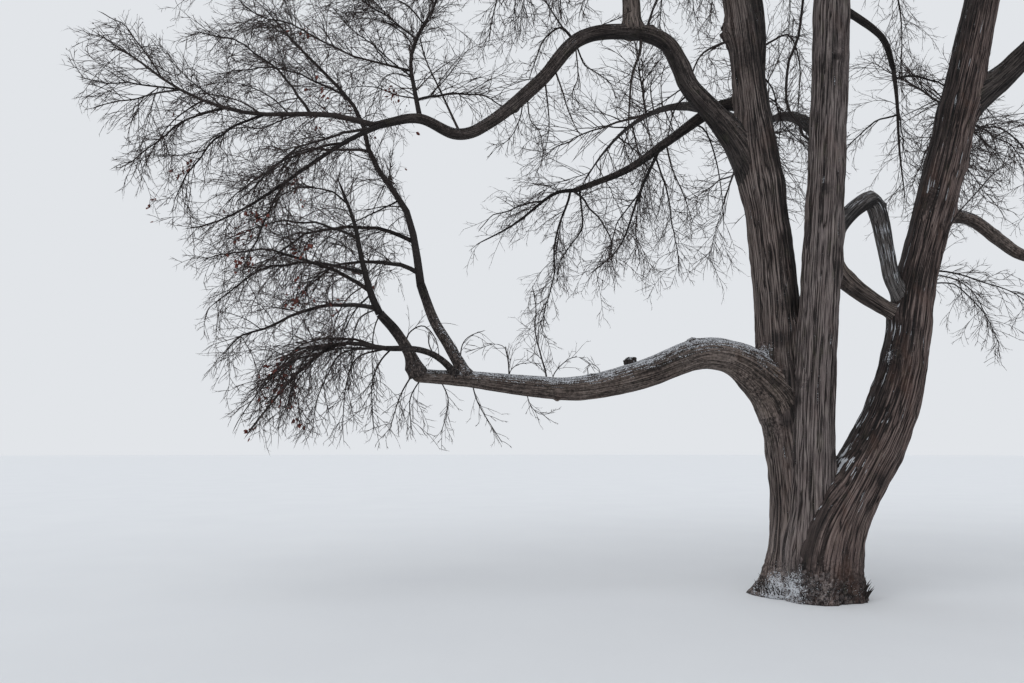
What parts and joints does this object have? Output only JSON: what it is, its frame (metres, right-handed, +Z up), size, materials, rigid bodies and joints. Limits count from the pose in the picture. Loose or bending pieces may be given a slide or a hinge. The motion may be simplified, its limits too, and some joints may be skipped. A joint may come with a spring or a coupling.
{
  "type": "bare winter tree",
  "caption": "Bare winter shade tree: a flared trunk that parts into leaning stems, a long low bough, an arched bough above it, and a full crown of fine drooping twigs.",
  "frame": {"origin": "on the flat cut under the trunk, at ground level, between the feet of the stems", "axes": "+Z up, +X to the right as the picture sees the tree, so the low bough reaches towards -X, and +Y away from the viewer"},
  "size_m": [16.8704, 13.8126, 18.3204],
  "materials": {
    "bark": "rough ridged bark with snow in its fissures",
    "twigs": "thin dark winter twigs"
  },
  "bodies": {
    "root": {"trunk": "bark", "stem_left": "bark", "stem_middle": "bark", "stem_right": "bark", "arch_crown": "bark", "arch_fall": "bark", "arch_rise": "bark", "arch_upright": "bark", "bough_back_left": "bark", "bough_back_low": "bark", "bough_back_right": "bark", "bough_upper_back_left": "bark", "bough_upper_back_right": "bark", "bough_upper_front": "bark", "bough_upper_left": "bark", "bough_upper_right": "bark", "brace": "bark", "crook_fall": "bark", "crook_rise": "bark", "inner_riser": "bark", "low_arm": "bark", "low_bough": "bark", "mid_right_bough": "bark", "middle_bough": "bark", "outer_riser": "bark", "right_bough": "bark", "right_leader": "bark", "twigs_arch_far": "twigs", "twigs_arch_near": "twigs", "twigs_arch_top": "twigs", "twigs_arch_upright": "twigs", "twigs_back_left": "twigs", "twigs_back_low": "twigs", "twigs_back_right": "twigs", "twigs_high_1": "twigs", "twigs_high_2": "twigs", "twigs_high_3": "twigs", "twigs_high_4": "twigs", "twigs_high_5": "twigs", "twigs_high_6": "twigs", "twigs_high_7": "twigs", "twigs_inner_riser": "twigs", "twigs_low_fan": "twigs", "twigs_mid_right": "twigs", "twigs_middle_bough": "twigs", "twigs_middle_hanging": "twigs", "twigs_outer_riser": "twigs", "twigs_right_bough": "twigs", "twigs_right_leader": "twigs", "twigs_top_left": "twigs", "twigs_top_middle": "twigs", "twigs_top_right": "twigs", "twigs_twin_leader": "twigs", "twigs_upper_back_left": "twigs", "twigs_upper_back_right": "twigs", "twigs_upper_front": "twigs", "twigs_upper_left": "twigs", "twigs_upper_right": "twigs", "twin_leader": "bark"}
  },
  "joints": []
}
